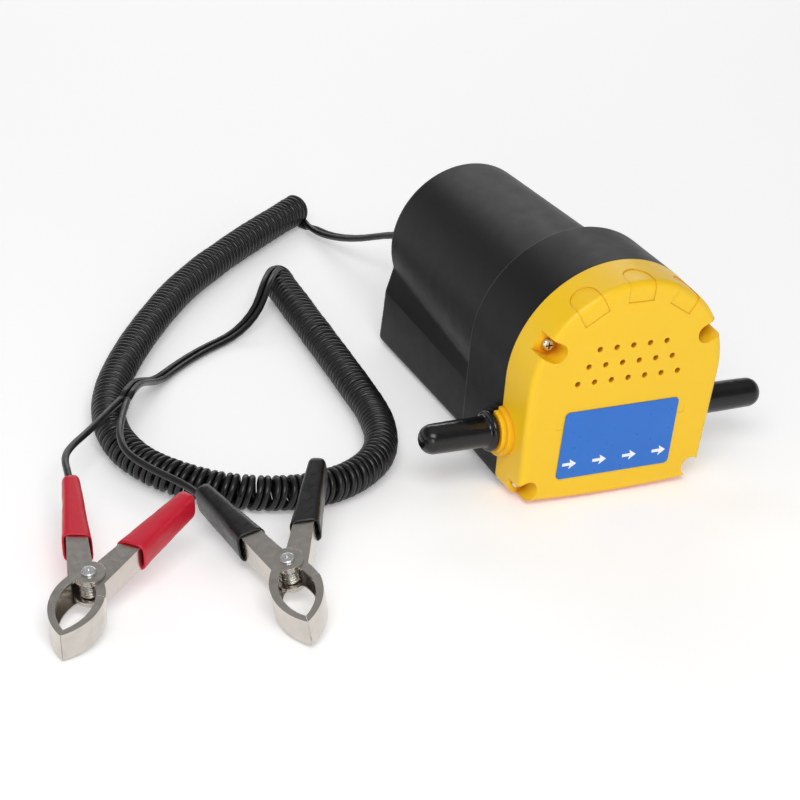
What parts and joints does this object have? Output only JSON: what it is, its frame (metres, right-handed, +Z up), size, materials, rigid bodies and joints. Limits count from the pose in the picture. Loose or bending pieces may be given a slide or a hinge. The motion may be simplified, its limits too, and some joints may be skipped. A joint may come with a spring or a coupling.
{
  "type": "fluid transfer pump",
  "caption": "Portable 12 volt gear pump for moving engine oil: yellow cover, black motor housing, capped side spouts and a curly lead ending in battery clamps.",
  "frame": {"origin": "centre of the pump casing at the level of the surface it stands on", "axes": "+Z up, -Y out of the yellow front cover, X through both spouts"},
  "size_m": [0.3685, 0.3668, 0.107],
  "materials": {
    "housing_black": "textured black polypropylene",
    "cover_yellow": "moulded yellow ABS, satin",
    "label_blue": "printed film",
    "screw_zinc": "bright zinc plate",
    "pump_alloy": "die cast",
    "gasket_fibre": "matte fibre",
    "sintered_bronze": "sintered",
    "seal_rubber": "matte",
    "gear_steel": "cut and hardened",
    "shaft_steel": "ground",
    "gear_plastic": "natural acetal",
    "spout_metal": "turned",
    "cap_black": "glossy soft black vinyl",
    "motor_steel": "zinc plated",
    "magnet_ferrite": "ferrite",
    "core_steel": "stacked sheet",
    "copper": "enamelled copper",
    "phenolic": "phenolic",
    "carbon": "carbon",
    "spring_steel": "spring wire",
    "cable_black": "satin PVC",
    "clamp_nickel": "nickel plated sheet",
    "sleeve_red": "soft glossy vinyl",
    "sleeve_black": "soft glossy vinyl"
  },
  "bodies": {
    "root": {"rear_housing": "housing_black", "front_cover": "cover_yellow", "label": "label_blue", "cover_screws": "screw_zinc", "pump_body": "pump_alloy", "pump_gasket": "gasket_fibre", "pump_end_plate": "pump_alloy", "pump_screws": "screw_zinc", "shaft_bushes": "sintered_bronze", "shaft_seal": "seal_rubber", "inlet_spout": "spout_metal", "outlet_spout": "spout_metal", "motor_plate": "motor_steel", "plate_screws": "screw_zinc", "motor_screws": "screw_zinc", "motor_can": "motor_steel", "motor_magnets": "magnet_ferrite", "motor_end_cap": "phenolic", "motor_bushes": "sintered_bronze", "brush_holders": "copper", "brushes": "carbon", "brush_springs": "spring_steel", "motor_leads": "cable_black", "cable_gland": "cable_black", "supply_cable": "cable_black", "curly_cable": "cable_black", "twin_cable": "cable_black", "red_wire": "cable_black", "black_wire": "cable_black", "red_clamp_lever_wired": "clamp_nickel", "red_clamp_rivet": "clamp_nickel", "red_clamp_spring": "spring_steel", "red_clamp_sleeve_wired": "sleeve_red", "black_clamp_lever_wired": "clamp_nickel", "black_clamp_rivet": "clamp_nickel", "black_clamp_spring": "spring_steel", "black_clamp_sleeve_wired": "sleeve_black"},
    "rotor": {"motor_shaft": "shaft_steel", "armature_core": "core_steel", "armature_windings": "copper", "commutator": "copper", "motor_pinion": "gear_steel"},
    "pump_drive": {"drive_shaft": "shaft_steel", "reduction_gear": "gear_plastic", "pump_drive_gear": "gear_steel"},
    "pump_idler": {"idler_shaft": "shaft_steel", "pump_idler_gear": "gear_steel"},
    "inlet_cap": {"inlet_cap": "cap_black"},
    "outlet_cap": {"outlet_cap": "cap_black"},
    "red_jaw": {"red_clamp_lever_moving": "clamp_nickel", "red_clamp_sleeve_moving": "sleeve_red"},
    "black_jaw": {"black_clamp_lever_moving": "clamp_nickel", "black_clamp_sleeve_moving": "sleeve_black"}
  },
  "joints": [
    {"name": "rotor_spin", "type": "hinge", "parent": "root", "child": "rotor", "pos_m": [0, 0, 0.055], "axis": [0, 1, 0], "continuous": true},
    {"name": "pump_drive_spin", "type": "hinge", "parent": "root", "child": "pump_drive", "pos_m": [0, -0.055, 0.037], "axis": [0, 1, 0], "continuous": true},
    {"name": "pump_idler_spin", "type": "hinge", "parent": "root", "child": "pump_idler", "pos_m": [0, -0.058, 0.022], "axis": [0, 1, 0], "continuous": true},
    {"name": "inlet_cap_pull", "type": "slide", "parent": "root", "child": "inlet_cap", "axis": [-1, 0, 0], "range_m": [0, 0.045]},
    {"name": "outlet_cap_pull", "type": "slide", "parent": "root", "child": "outlet_cap", "axis": [1, 0, 0], "range_m": [0, 0.045]},
    {"name": "red_jaw_open", "type": "hinge", "parent": "root", "child": "red_jaw", "pos_m": [-0.256, -0.101, 0.0138], "axis": [-0.1749, -0.0833, 0.9811], "range_deg": [0, 24], "stiffness_Nm_per_rad": 0.3, "springref_deg": -20.05, "deforming": ["red_clamp_spring"]},
    {"name": "black_jaw_open", "type": "hinge", "parent": "root", "child": "black_jaw", "pos_m": [-0.1745, -0.1145, 0.014], "axis": [-0.297, -0.0751, 0.9519], "range_deg": [0, 24], "stiffness_Nm_per_rad": 0.3, "springref_deg": -20.05, "deforming": ["black_clamp_spring"]}
  ],
  "couplings": [
    {"joint": "pump_drive_spin", "follows": "rotor_spin", "ratio": -0.36364},
    {"joint": "pump_idler_spin", "follows": "rotor_spin", "ratio": 0.36364}
  ]
}
